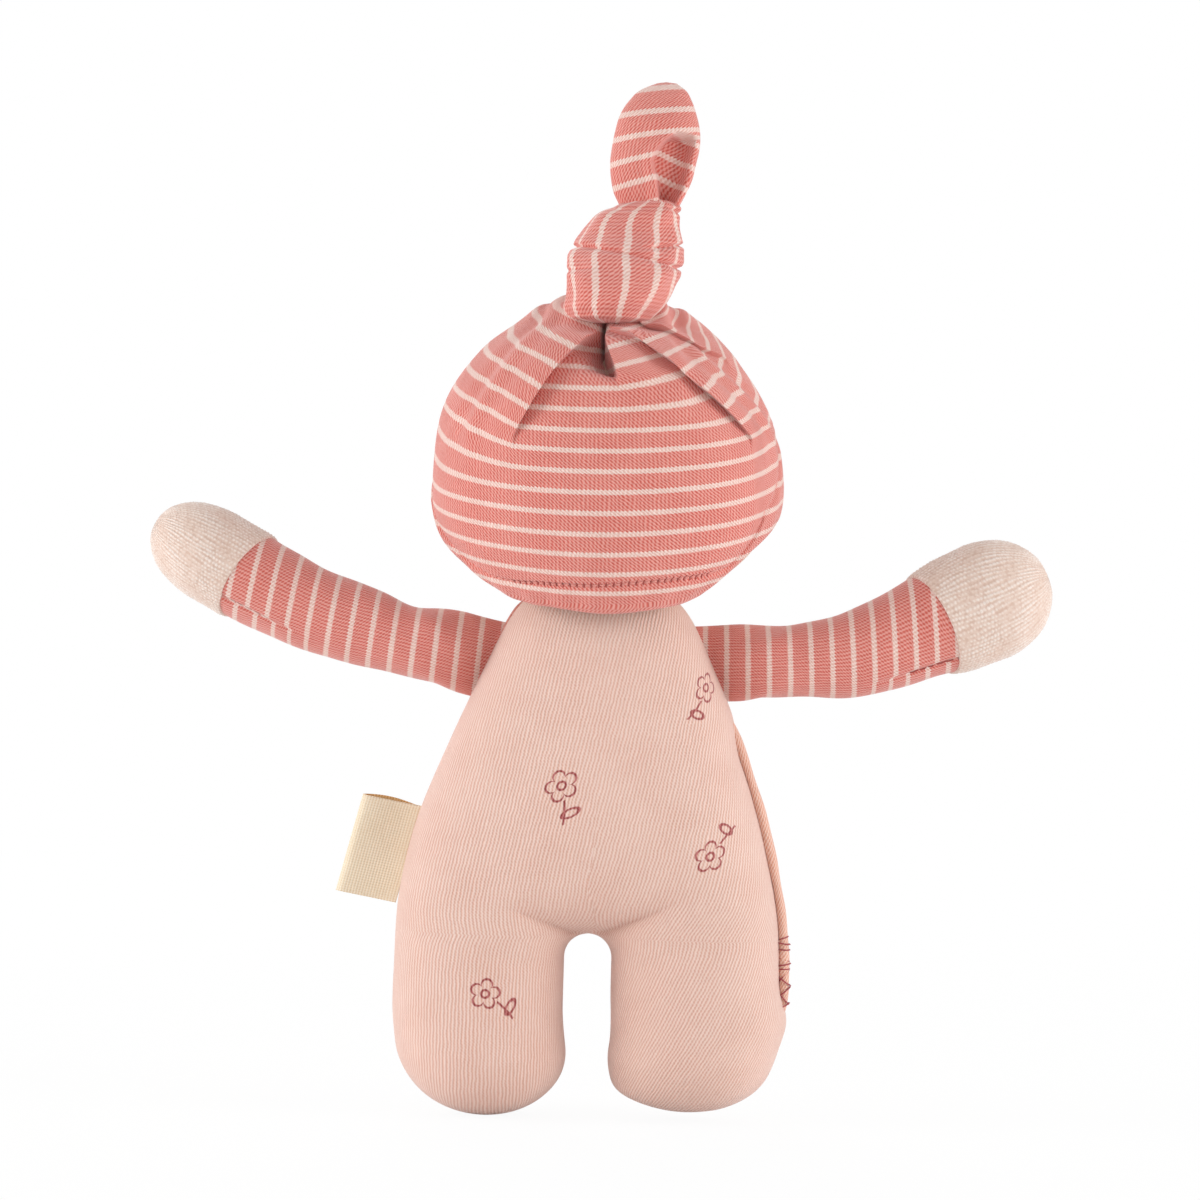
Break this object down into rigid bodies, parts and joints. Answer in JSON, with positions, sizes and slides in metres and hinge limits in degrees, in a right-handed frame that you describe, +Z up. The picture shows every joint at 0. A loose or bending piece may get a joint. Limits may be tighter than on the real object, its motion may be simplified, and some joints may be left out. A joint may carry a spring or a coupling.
{
  "type": "grasping doll",
  "caption": "Soft stuffed grasping doll with a striped knotted hat, striped arms with terry hands, plain body with stub legs, side label loop and inner rattle.",
  "frame": {"origin": "on the floor, midway between the feet, under the middle of the doll", "axes": "+Z up from the feet to the hat's tail, -Y the way the face looks, +X the doll's left"},
  "size_m": [0.1948, 0.0642, 0.2199],
  "materials": {
    "pale_jersey": "matt single jersey knit",
    "striped_jersey": "matt single jersey knit, coral with narrow pale stripes",
    "loop_terry": "looped terry pile",
    "skin_tricot": "fine matt tricot",
    "woven_ribbon": "woven ribbon, slight sheen",
    "fibre_filling": "loose fibre",
    "rattle_plastic": "moulded",
    "bead_plastic": "moulded"
  },
  "bodies": {
    "torso": {"torso_front_panel": "pale_jersey", "torso_back_panel": "pale_jersey", "torso_front_filling": "fibre_filling", "torso_back_filling": "fibre_filling", "rattle_upper_shell": "rattle_plastic", "rattle_lower_shell": "rattle_plastic"},
    "head": {"head_face_panel": "skin_tricot", "head_back_panel": "skin_tricot", "head_filling": "fibre_filling", "hat_crown": "striped_jersey", "hat_knot": "striped_jersey"},
    "tail": {"hat_tail": "striped_jersey"},
    "left_arm": {"left_sleeve": "striped_jersey", "left_arm_filling": "fibre_filling", "left_hand_mitt": "loop_terry", "left_hand_filling": "fibre_filling"},
    "right_arm": {"right_sleeve": "striped_jersey", "right_arm_filling": "fibre_filling", "right_hand_mitt": "loop_terry", "right_hand_filling": "fibre_filling"},
    "left_leg": {"left_leg_front_panel": "pale_jersey", "left_leg_back_panel": "pale_jersey", "left_leg_filling": "fibre_filling"},
    "right_leg": {"right_leg_front_panel": "pale_jersey", "right_leg_back_panel": "pale_jersey", "right_leg_filling": "fibre_filling"},
    "label": {"woven_label": "woven_ribbon"},
    "bead_front": {"rattle_bead_front": "bead_plastic"},
    "bead_middle": {"rattle_bead_middle": "bead_plastic"},
    "bead_back": {"rattle_bead_back": "bead_plastic"}
  },
  "joints": [
    {"name": "neck_nod", "type": "hinge", "parent": "torso", "child": "head", "pos_m": [0, 0, 0.1], "axis": [1, 0, 0], "range_deg": [-22, 22], "stiffness_Nm_per_rad": 0.08},
    {"name": "tail_flop", "type": "hinge", "parent": "head", "child": "tail", "pos_m": [-0.00416, 0, 0.19615], "axis": [0.9903, 0, 0.1392], "range_deg": [-45, 45], "stiffness_Nm_per_rad": 0.0006},
    {"name": "left_shoulder_swing", "type": "hinge", "parent": "torso", "child": "left_arm", "pos_m": [0.0245, 0, 0.09784], "axis": [-0.3698, 0, 0.9291], "range_deg": [-50, 50], "stiffness_Nm_per_rad": 0.02},
    {"name": "right_shoulder_swing", "type": "hinge", "parent": "torso", "child": "right_arm", "pos_m": [-0.0245, 0, 0.09784], "axis": [0.3698, 0, 0.9291], "range_deg": [-50, 50], "stiffness_Nm_per_rad": 0.02},
    {"name": "left_hip_swing", "type": "hinge", "parent": "torso", "child": "left_leg", "pos_m": [0.02035, 0, 0.04831], "axis": [0.9336, 0, 0.3584], "range_deg": [-20, 20], "stiffness_Nm_per_rad": 0.15},
    {"name": "right_hip_swing", "type": "hinge", "parent": "torso", "child": "right_leg", "pos_m": [-0.02035, 0, 0.04831], "axis": [0.9336, 0, -0.3584], "range_deg": [-20, 20], "stiffness_Nm_per_rad": 0.15},
    {"name": "label_flap", "type": "hinge", "parent": "torso", "child": "label", "pos_m": [0.04003, 0, 0.05787], "axis": [-0.2467, 0, 0.9691], "range_deg": [-60, 60], "stiffness_Nm_per_rad": 0.00003},
    {"name": "bead_front_roll", "type": "hinge", "parent": "torso", "child": "bead_front", "pos_m": [0, 0, 0.079], "axis": [0, 1, 0], "range_deg": [-70, 70]},
    {"name": "bead_middle_roll", "type": "hinge", "parent": "torso", "child": "bead_middle", "pos_m": [0, 0, 0.079], "axis": [0, 1, 0], "range_deg": [-70, 70]},
    {"name": "bead_back_roll", "type": "hinge", "parent": "torso", "child": "bead_back", "pos_m": [0, 0, 0.079], "axis": [0, 1, 0], "range_deg": [-70, 70]}
  ]
}
